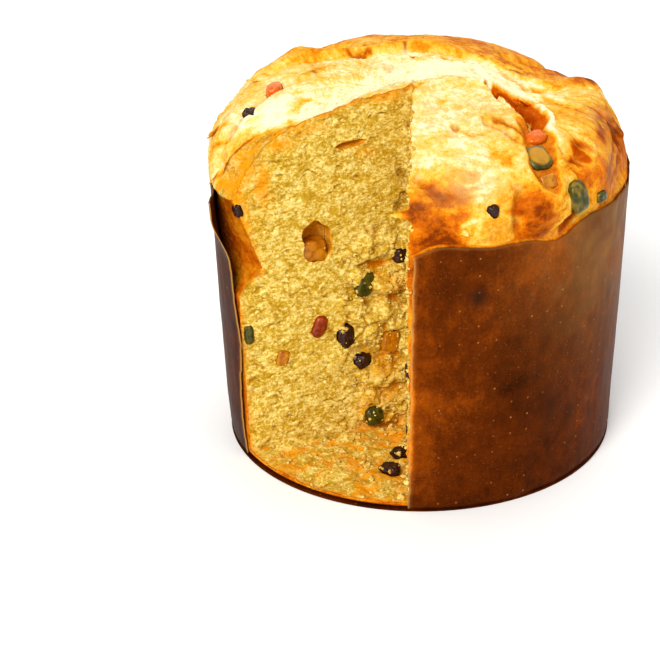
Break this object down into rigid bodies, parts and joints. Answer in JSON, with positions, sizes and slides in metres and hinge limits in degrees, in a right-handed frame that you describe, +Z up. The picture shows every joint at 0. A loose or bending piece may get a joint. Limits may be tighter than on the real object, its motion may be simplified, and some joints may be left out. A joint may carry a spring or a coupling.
{
  "type": "panettone",
  "caption": "Tall domed fruit bread in a brown baking paper case, with a wedge cut out of the front that bares yellow crumb with raisins and candied peel.",
  "frame": {"origin": "centre of the flat underside of the paper case's base", "axes": "+Z up through the dome, -Y towards the cut-out wedge, +X to the right of it"},
  "size_m": [0.1706, 0.1698, 0.1581],
  "materials": {
    "amber_fruit": "gloss",
    "baking_paper": "matte",
    "bread": "matte",
    "green_fruit": "gloss",
    "orange_fruit": "gloss",
    "raisin_fruit": "satin",
    "russet_fruit": "gloss"
  },
  "bodies": {
    "root": {"bread": "bread", "paper_base": "baking_paper", "paper_wall": "baking_paper", "amber_in_hollow": "amber_fruit", "green_peel_mid_left": "green_fruit", "russet_peel_left": "russet_fruit", "raisin_left_upper": "raisin_fruit", "raisin_left_lower": "raisin_fruit", "raisin_by_tip": "raisin_fruit", "green_peel_outer_left": "green_fruit", "amber_small_left": "amber_fruit", "amber_strip_by_tip": "amber_fruit", "green_peel_low_left": "green_fruit", "raisin_outer_left": "raisin_fruit", "raisin_floor_inner": "raisin_fruit", "raisin_floor_outer": "raisin_fruit", "orange_peel_in_tear": "orange_fruit", "orange_peel_right": "orange_fruit", "green_slice_right": "green_fruit", "amber_under_slice": "amber_fruit", "green_peel_right": "green_fruit", "green_bit_right": "green_fruit", "raisin_front": "raisin_fruit", "raisin_top_left": "raisin_fruit", "orange_peel_top_left": "orange_fruit", "raisin_back": "raisin_fruit", "orange_peel_back": "orange_fruit", "raisin_back_left": "raisin_fruit", "raisin_right_upper": "raisin_fruit", "amber_right_upper": "amber_fruit", "green_peel_right_mid": "green_fruit", "raisin_right_mid": "raisin_fruit", "orange_peel_right_mid": "orange_fruit", "raisin_right_low": "raisin_fruit"}
  },
  "joints": []
}
